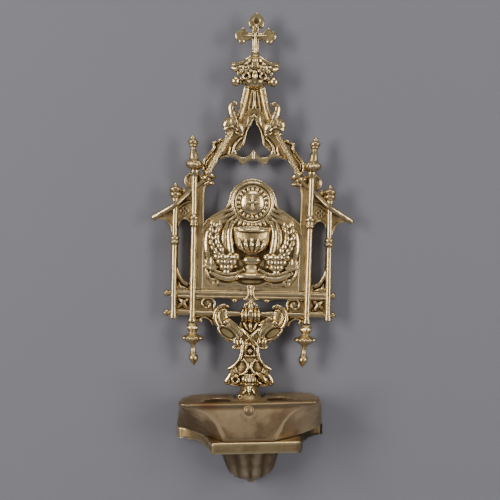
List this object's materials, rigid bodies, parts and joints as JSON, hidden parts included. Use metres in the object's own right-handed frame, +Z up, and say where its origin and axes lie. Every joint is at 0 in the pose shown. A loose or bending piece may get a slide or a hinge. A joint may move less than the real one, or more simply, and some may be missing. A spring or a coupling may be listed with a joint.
{
  "type": "holy water stoup",
  "caption": "Wall-hung brass holy water stoup: a gabled openwork back with cross, pinnacles and relief plaque, and a cast basin hung on a rivet from its scroll bracket.",
  "frame": {"origin": "on the back of the relief plaque, in the wall plane, on the vertical centre line", "axes": "+Z up along the height, +Y into the wall, +X to the viewer's right"},
  "size_m": [0.1144, 0.0342, 0.2653],
  "materials": {
    "polished_brass": "worn polish with dark patina in the recesses",
    "dull_brass": "dull brown tarnish over the casting"
  },
  "bodies": {
    "back": {"cross_finial": "polished_brass", "crown_knop": "polished_brass", "rafter_left": "polished_brass", "rafter_right": "polished_brass", "gable_tracery": "polished_brass", "large_crocket_left": "polished_brass", "large_crocket_right": "polished_brass", "rafter_leaf_left": "polished_brass", "rafter_leaf_right": "polished_brass", "rafter_foot_left": "polished_brass", "rafter_foot_right": "polished_brass", "inner_column_left": "polished_brass", "inner_column_right": "polished_brass", "inner_finial_left": "polished_brass", "inner_finial_right": "polished_brass", "outer_column_left": "polished_brass", "outer_column_right": "polished_brass", "outer_finial_left": "polished_brass", "outer_finial_right": "polished_brass", "eave_rod_left": "polished_brass", "eave_rod_right": "polished_brass", "eave_bracket_left": "polished_brass", "eave_bracket_right": "polished_brass", "side_panel_left": "polished_brass", "side_panel_right": "polished_brass", "arch_brace_left": "polished_brass", "arch_brace_right": "polished_brass", "upper_rail": "polished_brass", "lower_rail": "polished_brass", "rail_panel_left": "polished_brass", "rail_panel_right": "polished_brass", "relief_plaque": "polished_brass", "sill_clasp": "polished_brass", "volute_left": "polished_brass", "volute_right": "polished_brass", "rail_knuckle": "polished_brass", "bracket_strap_left": "polished_brass", "bracket_strap_right": "polished_brass", "acanthus_stem": "polished_brass", "drop_left": "polished_brass", "drop_right": "polished_brass", "basin_rivet": "dull_brass"},
    "basin": {"basin_body": "dull_brass", "base_band": "dull_brass", "fluted_boss": "dull_brass"}
  },
  "joints": [
    {"name": "basin_rivet_pivot", "type": "hinge", "parent": "back", "child": "basin", "pos_m": [0, -0.016, -0.0813], "axis": [0, -1, 0], "range_deg": [-5.3, 0.7]}
  ]
}
